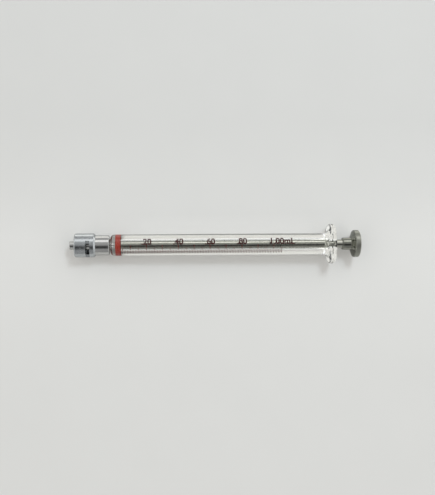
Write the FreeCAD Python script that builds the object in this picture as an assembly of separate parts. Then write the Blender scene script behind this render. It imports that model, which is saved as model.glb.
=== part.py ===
import FreeCAD, Part
import math
import os

# One millilitre glass syringe with a solid metal piston and a metal lock tip.
# It lies on its side. Lengths are millimetres.
# Stations run along the syringe from the end of the tip cone towards the thumb knob.
# Turns are degrees round the barrel from straight up; positive turns go to the scale side.

# Tip cone and its fluid passage
cone_end_diameter = 3.96
cone_taper = 0.06
cone_end_chamfer = 0.3
cone_projection = 2.55
passage_diameter = 1.2

# Lock collar round the cone
collar_diameter = 11.5
collar_length = 10.15
collar_front_chamfer = 0.45
collar_rear_chamfer = 0.8
collar_relief_depth = 0.4
collar_seat_length = 2.25
thread_major_diameter = 8.0
thread_minor_diameter = 7.0
thread_length = 5.6
thread_lead = 5.0
thread_starts = 2
thread_crest_width = 0.35
thread_root_width = 1.0
thread_root_bury = 0.4
thread_mouth_chamfer = 0.3

# Window milled across the collar wall
window_width = 1.95
window_setback = 6.45
window_depth = 2.65
window_turn = 35.0

# Sleeve of the hub, which holds the neck of the barrel
sleeve_diameter = 9.6
sleeve_length = 6.6
sleeve_rim_chamfer = 0.4
socket_depth = 5.1

# Glass barrel
neck_diameter = 5.6
cement_gap = 0.2
cement_setback = 0.15
barrel_diameter = 10.2
bore_diameter = 4.1
bore_mouth_flare = 0.4
shoulder_gap = 0.45
shoulder_rounding = 2.2
end_wall = 2.25
bore_length = 105.6

# Finger flange of the barrel
flange_diameter = 19.0
flange_flats = 12.0
flange_root_thickness = 3.1
flange_rim_thickness = 2.5
flange_fillet = 2.3
flange_fillet_land = 0.2
flange_rim_chamfer = 0.7
flange_corner_radius = 2.0

# Piston rod
piston_clearance = 0.02
piston_end_gap = 0.05
piston_end_chamfer = 0.15
rod_bare_length = 3.7

# Thumb knob
stem_wall = 0.86
stem_length = 3.9
stem_chamfer = 0.5
knob_diameter = 13.0
knob_cone_length = 1.4
knob_rim_step = 0.4
knob_rim_thickness = 2.4
knob_edge_chamfer = 0.3
knob_socket_depth = 3.2

# Clearance of the pieces that are pressed or soldered together
seat_clearance = 0.01

# Flat land left on a wall beside a broken or rounded edge
edge_land = 0.1

# Fired enamel on the glass
enamel_thickness = 0.05
zero_band_setback = 0.3
zero_band_width = 2.5
line_width = 0.26
line_foot_turn = 52.0
short_line_turn = 28.0
middle_line_turn = 15.0
long_line_turn = 0.0
first_line_ml = 0.05
last_line_ml = 1.05
line_step_ml = 0.01
middle_line_every = 5
long_line_every = 10

# Stations that follow from the sizes above
collar_front = cone_projection
collar_rear = collar_front + collar_length
seat_front = collar_rear - collar_seat_length
thread_end = collar_front + thread_length
window_station = collar_front + window_setback
sleeve_rear = collar_rear + sleeve_length
socket_bottom = sleeve_rear - socket_depth
shoulder_front = sleeve_rear + shoulder_gap
bore_front = shoulder_front + end_wall
barrel_rear = bore_front + bore_length
flange_front = barrel_rear - flange_root_thickness
piston_front = bore_front + piston_end_gap
stem_front = barrel_rear + rod_bare_length
cone_front = stem_front + stem_length
rim_front = cone_front + knob_cone_length
knob_rear = rim_front + knob_rim_thickness
rod_rear = stem_front + knob_socket_depth

# Diameters, walls and distances that follow
cubic_millimetres_per_ml = 1000.0
millimetres_per_ml = cubic_millimetres_per_ml / (math.pi * (bore_diameter / 2) ** 2)
collar_relief_diameter = thread_major_diameter + 2 * collar_relief_depth
collar_wall = (collar_diameter - collar_relief_diameter) / 2
shoulder_height = (barrel_diameter - neck_diameter) / 2
piston_diameter = bore_diameter - 2 * piston_clearance
knob_socket_diameter = piston_diameter + 2 * seat_clearance
stem_diameter = knob_socket_diameter + 2 * stem_wall
flange_root_station = flange_front - flange_fillet - flange_fillet_land
flange_slope = (flange_root_thickness - flange_rim_thickness) / 2
overall_length = knob_rear
axis_height = max(knob_diameter, collar_diameter, flange_flats) / 2

origin_shift = FreeCAD.Vector(-overall_length / 2, 0, axis_height)
axis_point = FreeCAD.Vector(0, 0, 0)
along = FreeCAD.Vector(1, 0, 0)
across = FreeCAD.Vector(0, 1, 0)
same_size = 1e-4


def lathe(outline):
    """Solid of revolution about the syringe's axis from a list of (station, radius) points."""
    points = [FreeCAD.Vector(station, radius, 0) for station, radius in outline]
    points.append(points[0])
    face = Part.Face(Part.makePolygon(points))
    return face.revolve(axis_point, along, 360)


def rod_between(front, rear, diameter):
    """Plain cylinder on the syringe's axis."""
    return Part.makeCylinder(diameter / 2, rear - front, FreeCAD.Vector(front, 0, 0), along)


def rims(shape, station, diameter):
    """Round edges of a shape that lie at one station and have one diameter."""
    found = []
    for edge in shape.Edges:
        curve = edge.Curve
        if not isinstance(curve, Part.Circle):
            continue
        at_station = abs(curve.Center.x - station) < same_size
        if at_station and abs(curve.Radius - diameter / 2) < same_size:
            found.append(edge)
    return found


def within(wall, edge_size):
    """Size of a broken or rounded edge, no larger than its wall leaves room for."""
    return min(edge_size, wall - edge_land)


def cone_diameter(station):
    """Diameter of the tapered tip cone at a station."""
    return cone_end_diameter + cone_taper * station


def turned(shape, turn):
    """A shape that points straight up, turned round the axis towards the scale side."""
    copy = shape.copy()
    copy.rotate(axis_point, along, turn)
    return copy


def make_tip_hub():
    """Turned hub: tip cone, seat for the lock collar, and the sleeve that holds the glass neck."""
    bore = passage_diameter / 2
    seat = collar_relief_diameter / 2 - seat_clearance
    sleeve = sleeve_diameter / 2
    socket = neck_diameter / 2 + cement_gap
    hub = lathe([
        (0, bore),
        (0, cone_diameter(0) / 2),
        (seat_front, cone_diameter(seat_front) / 2),
        (seat_front, seat),
        (collar_rear, seat),
        (collar_rear, sleeve),
        (sleeve_rear, sleeve),
        (sleeve_rear, socket),
        (socket_bottom, socket),
        (socket_bottom, bore),
    ])
    hub = hub.makeChamfer(cone_end_chamfer, rims(hub, 0, cone_diameter(0)))
    return hub.makeChamfer(sleeve_rim_chamfer, rims(hub, sleeve_rear, sleeve_diameter))


def make_thread_ridge(start_turn):
    """One start of the lock thread: a ridge that winds along the inside of the collar."""
    root = thread_major_diameter / 2
    crest = thread_minor_diameter / 2
    buried = root + thread_root_bury
    spare = thread_root_width
    flank = (thread_root_width - thread_crest_width) / 2 / (root - crest)
    half_crest = thread_crest_width / 2
    half_buried = half_crest + flank * (buried - crest)
    section = Part.makePolygon([
        FreeCAD.Vector(crest, 0, -half_crest),
        FreeCAD.Vector(buried, 0, -half_buried),
        FreeCAD.Vector(buried, 0, half_buried),
        FreeCAD.Vector(crest, 0, half_crest),
        FreeCAD.Vector(crest, 0, -half_crest),
    ])
    path = Part.makeLongHelix(thread_lead, thread_length + 2 * spare, crest)
    ridge = Part.Wire(path.Edges).makePipeShell([section], True, True)
    ridge.rotate(axis_point, across, 90)
    ridge.rotate(axis_point, along, start_turn)
    ridge.translate(FreeCAD.Vector(collar_front - spare, 0, 0))
    return ridge.common(rod_between(collar_front, thread_end, collar_diameter))


def make_window_cutter():
    """Block that mills the window straight across the collar wall."""
    reach = collar_diameter
    floor = collar_diameter / 2 - window_depth
    front = window_station - window_width / 2
    corner = FreeCAD.Vector(front, -reach / 2, floor)
    return turned(Part.makeBox(window_width, reach, reach, corner), window_turn)


def make_thread_mouth():
    """Countersink at the front of the collar, which also runs the thread out."""
    wide = thread_major_diameter / 2 + thread_mouth_chamfer
    return Part.makeCone(wide, 0, wide, FreeCAD.Vector(collar_front, 0, 0), along)


def make_lock_collar():
    """Collar with the two-start lock thread inside, pressed on the hub behind its window."""
    outer = collar_diameter / 2
    thread = thread_major_diameter / 2
    relief = collar_relief_diameter / 2
    collar = lathe([
        (collar_front, thread),
        (collar_front, outer),
        (collar_rear, outer),
        (collar_rear, relief),
        (thread_end, relief),
        (thread_end, thread),
    ])
    front_rim = rims(collar, collar_front, collar_diameter)
    collar = collar.makeChamfer(within(collar_wall, collar_front_chamfer), front_rim)
    rear_rim = rims(collar, collar_rear, collar_diameter)
    collar = collar.makeChamfer(within(collar_wall, collar_rear_chamfer), rear_rim)
    for start in range(thread_starts):
        collar = collar.fuse(make_thread_ridge(360.0 * start / thread_starts))
    return collar.cut(make_thread_mouth()).cut(make_window_cutter())


def make_socket_cement():
    """Sealing cement between the glass neck and the socket of the hub."""
    neck = neck_diameter / 2
    cement_rear = sleeve_rear - cement_setback
    return lathe([
        (socket_bottom, neck),
        (socket_bottom, neck + cement_gap),
        (cement_rear, neck + cement_gap),
        (cement_rear, neck),
    ])


def make_flange_outline():
    """Prism with the flange's outline: a round disc with two flats, joined by rounded corners."""
    start = FreeCAD.Vector(flange_root_station, 0, 0)
    depth = barrel_rear - flange_root_station
    disc = Part.makeCylinder(flange_diameter / 2, depth, start, along)
    corner = FreeCAD.Vector(start.x, -flange_diameter, -flange_flats / 2)
    prism = disc.common(Part.makeBox(depth, 2 * flange_diameter, flange_flats, corner))
    corners = []
    for edge in prism.Edges:
        lengthwise = abs(edge.Length - depth) < same_size
        if lengthwise and abs(abs(edge.CenterOfMass.z) - flange_flats / 2) < same_size:
            corners.append(edge)
    return prism.makeFillet(flange_corner_radius, corners)


def make_flange():
    """Finger flange: tapered disc with two flats, a broken rim and a fillet to the tube."""
    barrel = barrel_diameter / 2
    rim = flange_diameter / 2
    disc = lathe([
        (flange_root_station, 0),
        (flange_root_station, barrel),
        (flange_front, barrel),
        (flange_front + flange_slope, rim),
        (barrel_rear - flange_slope, rim),
        (barrel_rear, barrel),
        (barrel_rear, 0),
    ])
    disc = disc.makeFillet(flange_fillet, rims(disc, flange_front, barrel_diameter))
    edges = rims(disc, flange_front + flange_slope, flange_diameter)
    edges += rims(disc, barrel_rear - flange_slope, flange_diameter)
    disc = disc.makeChamfer(flange_rim_chamfer, edges)
    return disc.common(make_flange_outline())


def make_glass_barrel():
    """Blown barrel: neck, shoulder, straight tube and finger flange, with a ground bore."""
    neck = neck_diameter / 2
    outer = barrel_diameter / 2
    tube = lathe([
        (socket_bottom, 0),
        (socket_bottom, neck),
        (shoulder_front, neck),
        (shoulder_front, outer),
        (flange_root_station, outer),
        (flange_root_station, 0),
    ])
    shoulder = rims(tube, shoulder_front, barrel_diameter)
    tube = tube.makeFillet(within(shoulder_height, shoulder_rounding), shoulder)
    glass = tube.fuse(make_flange()).removeSplitter()
    glass = glass.cut(rod_between(socket_bottom, barrel_rear, passage_diameter))
    glass = glass.cut(rod_between(bore_front, barrel_rear, bore_diameter))
    mouth = rims(glass, barrel_rear, bore_diameter)
    return glass.makeChamfer(bore_mouth_flare, mouth)


def make_piston_rod():
    """Solid lapped rod that is both the piston and its own stem."""
    rod = rod_between(piston_front, rod_rear, piston_diameter)
    return rod.makeChamfer(piston_end_chamfer, rims(rod, piston_front, piston_diameter))


def make_thumb_knob():
    """Turned knob: a stem with a blind socket for the rod, a cone and a thick rim."""
    socket = knob_socket_diameter / 2
    stem = stem_diameter / 2
    knob = lathe([
        (stem_front, socket),
        (stem_front, stem),
        (cone_front, stem),
        (rim_front, knob_diameter / 2 - knob_rim_step),
        (rim_front, knob_diameter / 2),
        (knob_rear, knob_diameter / 2),
        (knob_rear, 0),
        (rod_rear, 0),
        (rod_rear, socket),
    ])
    knob = knob.makeChamfer(within(stem_wall, stem_chamfer), rims(knob, stem_front, stem_diameter))
    edges = rims(knob, rim_front, knob_diameter) + rims(knob, knob_rear, knob_diameter)
    return knob.makeChamfer(knob_edge_chamfer, edges)


def make_zero_band():
    """Coloured ring fired on the glass just behind the zero of the scale."""
    glass = barrel_diameter / 2
    front = bore_front + zero_band_setback
    return lathe([
        (front, glass),
        (front, glass + enamel_thickness),
        (front + zero_band_width, glass + enamel_thickness),
        (front + zero_band_width, glass),
    ])


def make_scale_line(volume_ml, head_turn):
    """One graduation line: a thin arc of enamel from its foot up to its head."""
    glass = barrel_diameter / 2
    middle = bore_front + volume_ml * millimetres_per_ml
    front = middle - line_width / 2
    corners = [
        FreeCAD.Vector(front, 0, glass),
        FreeCAD.Vector(middle, 0, glass + enamel_thickness),
        FreeCAD.Vector(front + line_width, 0, glass),
        FreeCAD.Vector(front, 0, glass),
    ]
    face = Part.Face(Part.makePolygon(corners))
    line = face.revolve(axis_point, along, line_foot_turn - head_turn)
    return turned(line, head_turn)


def make_scale_lines():
    """All graduation lines, longer at every fifth and every tenth one."""
    first = round(first_line_ml / line_step_ml)
    last = round(last_line_ml / line_step_ml)
    lines = []
    for count in range(first, last + 1):
        head_turn = short_line_turn
        if count % middle_line_every == 0:
            head_turn = middle_line_turn
        if count % long_line_every == 0:
            head_turn = long_line_turn
        lines.append(make_scale_line(count * line_step_ml, head_turn))
    return Part.makeCompound(lines)


def export(node, shape):
    """Move a piece into the part's frame and write it."""
    placed = shape.copy()
    placed.translate(origin_shift)
    placed.exportStep("parts/" + node + ".step")
    print(node, "solids", len(placed.Solids), "volume", round(placed.Volume, 2), "valid", placed.isValid())


os.makedirs("parts", exist_ok=True)
export("glass_barrel", make_glass_barrel())
export("tip_hub", make_tip_hub())
export("lock_collar", make_lock_collar())
export("socket_cement", make_socket_cement())
export("piston_rod", make_piston_rod())
export("thumb_knob", make_thumb_knob())
export("zero_band", make_zero_band())
export("scale_lines", make_scale_lines())
print("overall length", round(overall_length, 2), "mm per mL", round(millimetres_per_ml, 3))
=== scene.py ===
import math

import bmesh
import bpy
from mathutils import Matrix, Vector


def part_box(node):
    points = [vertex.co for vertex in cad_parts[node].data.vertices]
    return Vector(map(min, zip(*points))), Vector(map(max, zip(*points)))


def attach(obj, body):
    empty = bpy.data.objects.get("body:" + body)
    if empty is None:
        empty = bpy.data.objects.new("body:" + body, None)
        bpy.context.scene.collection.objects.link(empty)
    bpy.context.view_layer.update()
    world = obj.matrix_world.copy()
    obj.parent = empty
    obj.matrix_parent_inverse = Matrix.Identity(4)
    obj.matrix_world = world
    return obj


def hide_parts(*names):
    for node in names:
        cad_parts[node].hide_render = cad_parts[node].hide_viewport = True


bl_info = {
    "name": "Metal piston syringe",
    "version": (1, 0, 0),
    "blender": (4, 5, 0),
    "location": "3D View > Sidebar > Syringe",
    "description": "Finishes a one millilitre glass syringe with a metal piston round its packed solids",
    "category": "Add Mesh",
}

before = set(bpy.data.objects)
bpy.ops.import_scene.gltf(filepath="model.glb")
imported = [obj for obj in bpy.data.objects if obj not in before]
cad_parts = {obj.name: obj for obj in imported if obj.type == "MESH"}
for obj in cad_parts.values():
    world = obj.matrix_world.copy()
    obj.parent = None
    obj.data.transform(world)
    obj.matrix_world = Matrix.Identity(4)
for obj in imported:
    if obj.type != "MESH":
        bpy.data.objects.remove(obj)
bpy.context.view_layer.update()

# Stations of the pieces along the syringe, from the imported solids. Lengths are metres.
hub_front, hub_rear = (corner.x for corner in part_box("tip_hub"))
collar_front, collar_rear = (corner.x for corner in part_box("lock_collar"))
socket_bottom, barrel_rear = (corner.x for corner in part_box("glass_barrel"))
cement_front, cement_rear = (corner.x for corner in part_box("socket_cement"))
rod_front, rod_rear = (corner.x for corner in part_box("piston_rod"))
stem_front, knob_rear = (corner.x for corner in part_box("thumb_knob"))
band_front, band_rear = (corner.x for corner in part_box("zero_band"))
first_line_front, last_line_rear = (corner.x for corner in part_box("scale_lines"))
axis_height = sum(corner.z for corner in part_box("thumb_knob")) / 2
MM = 0.001

# How finely round forms are divided, and the strip beside a rounded edge that keeps a wall flat.
TURNS = 256
ARC_STEPS = 8
EDGE_STRIP = 0.02 * MM
SHARP_ANGLE = math.radians(32)
SAME_PLACE = 1e-8

# The part of a noise pattern's range that holds nearly all of it.
PATTERN_LOW = 0.3
PATTERN_HIGH = 0.7


def length(name, millimetres, description, least=0.0):
    """Property that holds one length. A place may be less than nothing."""
    return bpy.props.FloatProperty(
        name=name, description=description, default=millimetres * MM, min=least,
        precision=4, subtype="DISTANCE", unit="LENGTH")


def angle(name, degrees, description):
    """Property that holds one angle."""
    return bpy.props.FloatProperty(
        name=name, description=description, default=math.radians(degrees), subtype="ANGLE", unit="ROTATION")


def amount(name, value, description):
    """Property that holds a plain number, such as a roughness or a power."""
    return bpy.props.FloatProperty(name=name, description=description, default=value, precision=3)


def count(name, value, description):
    """Property that holds a whole number."""
    return bpy.props.IntProperty(name=name, description=description, default=value, min=1)


def linear(hex_colour):
    """Linear colour of an sRGB hex value such as C8C8C4."""
    channels = [int(hex_colour[place:place + 2], 16) / 255 for place in (0, 2, 4)]
    return [c / 12.92 if c <= 0.04045 else ((c + 0.055) / 1.055) ** 2.4 for c in channels] + [1.0]


def colour(name, hex_colour, description):
    """Property that holds one colour."""
    return bpy.props.FloatVectorProperty(
        name=name, description=description, default=linear(hex_colour), size=4, min=0.0, max=1.0,
        subtype="COLOR")


class SyringeBarrelSizes(bpy.types.PropertyGroup):
    """Sizes of the glass barrel and its finger flange."""

    neck: length("Neck diameter", 5.6, "Outside of the neck that is sealed in the hub")
    tube: length("Barrel diameter", 10.2, "Outside of the straight glass tube")
    bore: length("Bore diameter", 4.1, "Precision bore that the piston runs in")
    passage: length("Passage diameter", 1.2, "Fluid passage through the neck")
    shoulder_gap: length("Shoulder gap", 0.45, "Glass neck that shows between the hub and the shoulder")
    shoulder_rounding: length("Shoulder rounding", 2.2, "Radius of the fire-rounded shoulder")
    end_wall: length("End wall", 2.25, "Glass between the shoulder's front and the bore's end")
    neck_rounding: length("Neck rounding", 0.25, "Radius where the neck runs into the shoulder")
    mouth_flare: length("Mouth flare", 0.4, "Break at the bore's open end")
    flange: length("Flange diameter", 19.0, "Across the two finger wings")
    flats: length("Flange flats", 12.0, "Across the flange's two flats")
    root_thickness: length("Flange root", 3.1, "Flange thickness beside the tube")
    rim_thickness: length("Flange rim", 2.5, "Flange thickness at the end of a wing")
    fillet: length("Flange fillet", 2.3, "Radius between the tube and the flange's front")
    corner: length("Flange corner", 2.0, "Radius between a flat and the round of a wing, seen from the end")
    rim_rounding: length("Rim rounding", 0.9, "Largest radius of the fire-polished rim")
    rim_share: amount("Rim share", 0.3, "Rim radius as a share of how far the flange stands out")


class SyringeHubSizes(bpy.types.PropertyGroup):
    """Sizes of the turned hub."""

    cone_end: length("Cone end diameter", 3.96, "Small end of the tip cone")
    cone_taper: amount("Cone taper", 0.06, "Diameter that the cone gains for each unit of length")
    cone_rounding: length("Cone end rounding", 0.3, "Broken edge of the tip")
    passage: length("Passage diameter", 1.2, "Fluid passage through the hub")
    seat: length("Seat diameter", 8.78, "Seat that the lock collar is pressed on")
    seat_length: length("Seat length", 2.25, "Length of that seat")
    sleeve: length("Sleeve diameter", 9.6, "Outside of the sleeve round the glass neck")
    sleeve_rounding: length("Sleeve rim rounding", 0.4, "Broken edge at the sleeve's open end")
    socket: length("Socket diameter", 6.0, "Socket that the neck is sealed in")
    edge: length("Edge break", 0.06, "Radius of the other turned edges")


class SyringeCollarSizes(bpy.types.PropertyGroup):
    """Sizes of the lock collar."""

    outside: length("Collar diameter", 11.5, "Outside of the collar")
    front_chamfer: length("Front chamfer", 0.45, "Chamfer at the open end")
    rear_chamfer: length("Rear chamfer", 0.8, "Chamfer beside the sleeve")
    edge: length("Edge break", 0.08, "Radius that softens a turned edge")
    relief: length("Relief diameter", 8.8, "Smooth bore behind the thread")
    thread_major: length("Thread major diameter", 8.0, "Bore at the thread's roots")
    thread_minor: length("Thread minor diameter", 7.0, "Bore at the thread's crests")
    thread_length: length("Thread length", 5.6, "Threaded length from the open end")
    thread_lead: length("Thread lead", 5.0, "Travel of one full turn")
    thread_starts: count("Thread starts", 2, "Number of ridges")
    thread_root: length("Ridge root width", 1.0, "Width of a ridge at its root")
    thread_crest: length("Ridge crest width", 0.35, "Width of a ridge at its crest")
    thread_bury: length("Ridge bury", 0.12, "How deep a ridge's root lies in the wall")
    thread_margin: length("Thread margin", 0.25, "Plain bore at each end of a ridge")
    thread_run_out: amount("Thread run-out", 0.08, "Share of a ridge's length that each end takes to rise")
    mouth: length("Mouth chamfer", 0.3, "Countersink at the thread's mouth")
    window_width: length("Window width", 1.95, "Window along the syringe")
    window_setback: length("Window setback", 6.45, "From the open end to the window's middle")
    window_depth: length("Window depth", 2.65, "How deep the milling cutter went")
    window_turn: angle("Window turn", 35.0, "Where the window faces, from straight up towards the scale")


class SyringePistonSizes(bpy.types.PropertyGroup):
    """Sizes of the piston rod and its thumb knob."""

    rod: length("Rod diameter", 4.06, "Lapped rod")
    rod_edge: length("Rod edge", 0.15, "Broken edge of the piston's working end")
    socket: length("Socket diameter", 4.08, "Blind hole in the knob that holds the rod")
    stem: length("Stem diameter", 5.8, "Thick stem of the knob")
    stem_length: length("Stem length", 3.9, "Length of that stem")
    stem_rounding: length("Stem rounding", 0.45, "Broken edge at the stem's front")
    knob: length("Knob diameter", 13.0, "Across the knob's rim")
    cone_length: length("Knob cone length", 1.4, "Length of the cone under the rim")
    rim_step: length("Rim step", 0.4, "Step between the cone and the rim")
    rim_rounding: length("Rim rounding", 0.35, "Radius of the rim's edges")
    edge: length("Edge break", 0.1, "Radius of the other edges")


class SyringeScaleSizes(bpy.types.PropertyGroup):
    """Sizes of the fired band, lines and numbers."""

    height: length("Enamel height", 0.035, "How far the enamel stands on the glass")
    sink: length("Enamel sink", 0.012, "How far the enamel is fused into the glass")
    line_width: length("Line width", 0.26, "Width of one graduation line")
    millilitre: length("Millilitre", 75.743, "Distance along the barrel for one millilitre")
    first_count: count("First line", 5, "Hundredths of a millilitre at the first line")
    last_count: count("Last line", 105, "Hundredths of a millilitre at the last line")
    middle_every: count("Middle line every", 5, "Every so many lines, one is longer")
    long_every: count("Long line every", 10, "Every so many lines, one is longest")
    foot: angle("Foot", 52.0, "Turn of every line's lower end")
    short: angle("Short line head", 28.0, "Turn of a short line's upper end")
    middle: angle("Middle line head", 15.0, "Turn of a middle line's upper end")
    long: angle("Long line head", 0.0, "Turn of a long line's upper end")
    digit_height: length("Digit height", 3.05, "Height of a digit on the glass")
    digit_weight: amount("Digit weight", 0.03, "How much the strokes are thickened, in letter heights")
    digit_narrowing: amount("Digit narrowing", 0.96, "Width of the digits as a share of the font's")
    baseline: angle("Baseline", -2.0, "Turn of the numbers' foot line")
    last_number_lead: length("Last number lead", 4.3, "From the last numbered line to its number's middle")


class SyringeFinishes(bpy.types.PropertyGroup):
    """Colours of the finishes."""

    glass: colour("Glass", "FBFCFA", "Borosilicate glass, faintly green in the thickness")
    polished: colour("Polished plate", "C8C8C6", "Bright nickel plate on the hub")
    satin: colour("Satin plate", "C0C4C6", "Duller and bluer plate on the lock collar")
    lapped: colour("Lapped steel", "B8B8AF", "Lapped stainless steel of the rod")
    turned: colour("Turned steel", "999A91", "Turned stainless steel of the knob")
    cement: colour("Cement", "D8D5CC", "Sealing cement")
    red: colour("Red enamel", "98382C", "Fired enamel of the zero band")
    brown: colour("Brown enamel", "3A100A", "Fired enamel of the numbers, laid on thick")
    thin_brown: colour("Thin brown enamel", "5A190F", "The lines' enamel, thin enough for its red to show")


class SyringeStageSettings(bpy.types.PropertyGroup):
    """Floor, light and camera."""

    floor: colour("Floor", "BFBEBA", "Pale matt board under the syringe")
    floor_size: length("Floor size", 6000.0, "Length of the floor's sides")
    backdrop: colour("Backdrop", "DADAD8", "What the camera sees above the floor")
    lens: length("Lens", 50.38, "Focal length of the camera")
    camera_x: length("Camera station", -26.6, "Place of the camera along the syringe", least=-1.0)
    camera_y: length("Camera side", -1.25, "Place of the camera across the syringe", least=-1.0)
    camera_height: length("Camera height", 340.5, "Height of the camera over the floor")
    camera_roll: angle("Camera roll", -0.405, "Roll of the camera")
    camera_shift: amount("Camera shift", 0.1192, "Shift of the frame, as a share of its longer side")
    lamp_distance: length("Lamp distance", 900.0, "From the syringe to the soft lamp")
    lamp_size: length("Lamp size", 190.0, "Side of the soft lamp")
    lamp_power: amount("Lamp power", 2.95, "Power of the soft lamp in watts")
    lamp_colour: colour("Lamp colour", "E8F4FF", "Cool white of the soft lamp")
    end_light: amount("End light", 1.15, "Brightness of the room towards the syringe's two ends")
    tip_side: amount("Tip side", 1.2, "How bright the room gets at most on the tip's side")
    knob_side: amount("Knob side", 2.2, "How bright the room gets at most on the knob's side")
    # Colour of the painted light that the board glows with.
    glow_colour: colour("Glow colour", "FFFDF8", "Warm white of the light that fills the shadows")


def direction(turn):
    """Direction away from the syringe's axis at a turn from straight up towards the scale."""
    return Vector((0.0, -math.sin(turn), math.cos(turn)))


def on_turn(station, radius, turn):
    """Point at a station and a distance from the axis, at a turn."""
    return Vector((station, 0.0, axis_height)) + radius * direction(turn)


def rounded(corners, steps=ARC_STEPS):
    """Outline whose corners are rounded. Each corner is (station, radius, rounding)."""
    outline = []
    for index, (station, radius, rounding) in enumerate(corners):
        corner = Vector((station, radius))
        if rounding <= 0.0:
            outline.append(corner)
            continue
        before = (Vector(corners[index - 1][:2]) - corner).normalized()
        after = (Vector(corners[(index + 1) % len(corners)][:2]) - corner).normalized()
        half = before.angle(after) / 2
        centre = corner + (before + after).normalized() * rounding / math.sin(half)
        reach = rounding / math.tan(half)
        first = corner + before * reach
        last = corner + after * reach
        sweep = math.pi - 2 * half
        outline.append(first + before * EDGE_STRIP)
        for step in range(steps + 1):
            share = step / steps
            from_first = math.sin((1 - share) * sweep) / math.sin(sweep)
            from_last = math.sin(share * sweep) / math.sin(sweep)
            outline.append(centre + (first - centre) * from_first + (last - centre) * from_last)
        outline.append(last + after * EDGE_STRIP)
    return outline


def made_mesh(name, shape):
    """Mesh of a worked shape, which is freed."""
    mesh = bpy.data.meshes.new(name)
    shape.to_mesh(mesh)
    shape.free()
    return mesh


def skin(name, outlines):
    """Mesh through matching outlines that stand round the axis, one at each turn.

    An outline that starts and ends on the axis closes at two poles, and any other one is a closed loop.
    """
    shape = bmesh.new()
    turns = [2 * math.pi * step / len(outlines) for step in range(len(outlines))]
    rings = []
    for place in range(len(outlines[0])):
        points = [outline[place] for outline in outlines]
        if max(radius for _, radius in points) < SAME_PLACE:
            rings.append([shape.verts.new(on_turn(points[0][0], 0.0, 0.0))] * len(outlines))
        else:
            rings.append([shape.verts.new(on_turn(*point, turn)) for point, turn in zip(points, turns)])
    has_poles = rings[0][0] is rings[0][1]
    following = rings[1:] if has_poles else rings[1:] + rings[:1]
    for ring, next_ring in zip(rings, following):
        for step in range(len(outlines)):
            corners = [ring[step - 1], ring[step], next_ring[step], next_ring[step - 1]]
            shape.faces.new(list(dict.fromkeys(corners)))
    bmesh.ops.remove_doubles(shape, verts=shape.verts, dist=SAME_PLACE)
    bmesh.ops.recalc_face_normals(shape, faces=shape.faces)
    return made_mesh(name, shape)


def lathe(name, outline):
    """Mesh of one outline turned round the syringe's axis."""
    return skin(name, [outline] * TURNS)


def placed(name, data):
    """Object that holds a mesh, a text, a lamp or a camera, linked to the scene."""
    thing = bpy.data.objects.new(name, data)
    bpy.context.scene.collection.objects.link(thing)
    return thing


def new_piece(name, mesh, finish):
    """Object with smooth faces and sharp edges in one finish."""
    mesh.shade_smooth()
    mesh.set_sharp_from_angle(angle=SHARP_ANGLE)
    mesh.materials.clear()
    mesh.materials.append(finish)
    return placed(name, mesh)


def evaluated_mesh(holder):
    """Plain mesh of an object with its modifiers applied. The object itself is deleted."""
    depsgraph = bpy.context.evaluated_depsgraph_get()
    mesh = bpy.data.meshes.new_from_object(holder.evaluated_get(depsgraph), depsgraph=depsgraph)
    bpy.data.objects.remove(holder)
    return mesh


def add_node(tree, kind, inputs=None, stops=None, **settings):
    """Add one node. Its inputs are values, or what they are linked from, by name or place.

    A link comes from a socket, or from a node's first output.
    """
    node = tree.nodes.new(kind)
    for setting, value in settings.items():
        setattr(node, setting, value)
    for key, value in (inputs or {}).items():
        source = value.outputs[0] if isinstance(value, bpy.types.Node) else value
        if isinstance(source, bpy.types.NodeSocket):
            tree.links.new(source, node.inputs[key])
        else:
            node.inputs[key].default_value = value
    for index, (position, shade) in enumerate(stops or []):
        elements = node.color_ramp.elements
        element = elements[index] if index < 2 else elements.new(position)
        element.position = position
        element.color = shade
    return node


def grown_mesh(name, sizes, finish, lay_out):
    """Plain mesh grown by a geometry node tree that has a named input for each size.

    The layout adds the nodes between those inputs and the finish, and gives the last of them.
    """
    socket_kinds = {"int": "Int", "float": "Float", "tuple": "Vector", "Material": "Material"}
    values = {**sizes, "Material": finish}
    tree = bpy.data.node_groups.new(name, "GeometryNodeTree")
    for label, value in values.items():
        kind = "NodeSocket" + socket_kinds[type(value).__name__]
        tree.interface.new_socket(name=label, in_out="INPUT", socket_type=kind)
    tree.interface.new_socket(name="Geometry", in_out="OUTPUT", socket_type="NodeSocketGeometry")
    given = add_node(tree, "NodeGroupInput").outputs
    real = add_node(tree, "GeometryNodeRealizeInstances", {"Geometry": lay_out(tree, given)})
    finished = add_node(tree, "GeometryNodeSetMaterial", {"Geometry": real, "Material": given["Material"]})
    add_node(tree, "NodeGroupOutput", {"Geometry": finished})
    holder = placed(name, bpy.data.meshes.new(name))
    modifier = holder.modifiers.new(name, "NODES")
    modifier.node_group = tree
    for item in tree.interface.items_tree:
        if item.in_out == "INPUT":
            modifier[item.identifier] = values[item.name]
    return evaluated_mesh(holder)


def empty_tree(owner):
    """Node tree of a material or a world, with nothing in it."""
    owner.use_nodes = True
    owner.node_tree.nodes.clear()
    return owner.node_tree


def new_finish(name):
    """Material, its empty tree and its object coordinates."""
    material = bpy.data.materials.new(name)
    tree = empty_tree(material)
    return material, tree, add_node(tree, "ShaderNodeTexCoord").outputs["Object"]


def from_axis(tree, place):
    """Distance from the syringe's axis, and place along it."""
    centred = add_node(tree, "ShaderNodeMapping", {"Vector": place, "Location": (0.0, 0.0, -axis_height)})
    apart = add_node(tree, "ShaderNodeSeparateXYZ", {"Vector": centred}).outputs
    across = add_node(tree, "ShaderNodeCombineXYZ", {"Y": apart["Y"], "Z": apart["Z"]})
    radius = add_node(tree, "ShaderNodeVectorMath", {0: across}, operation="LENGTH")
    return radius.outputs["Value"], apart["X"]


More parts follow.
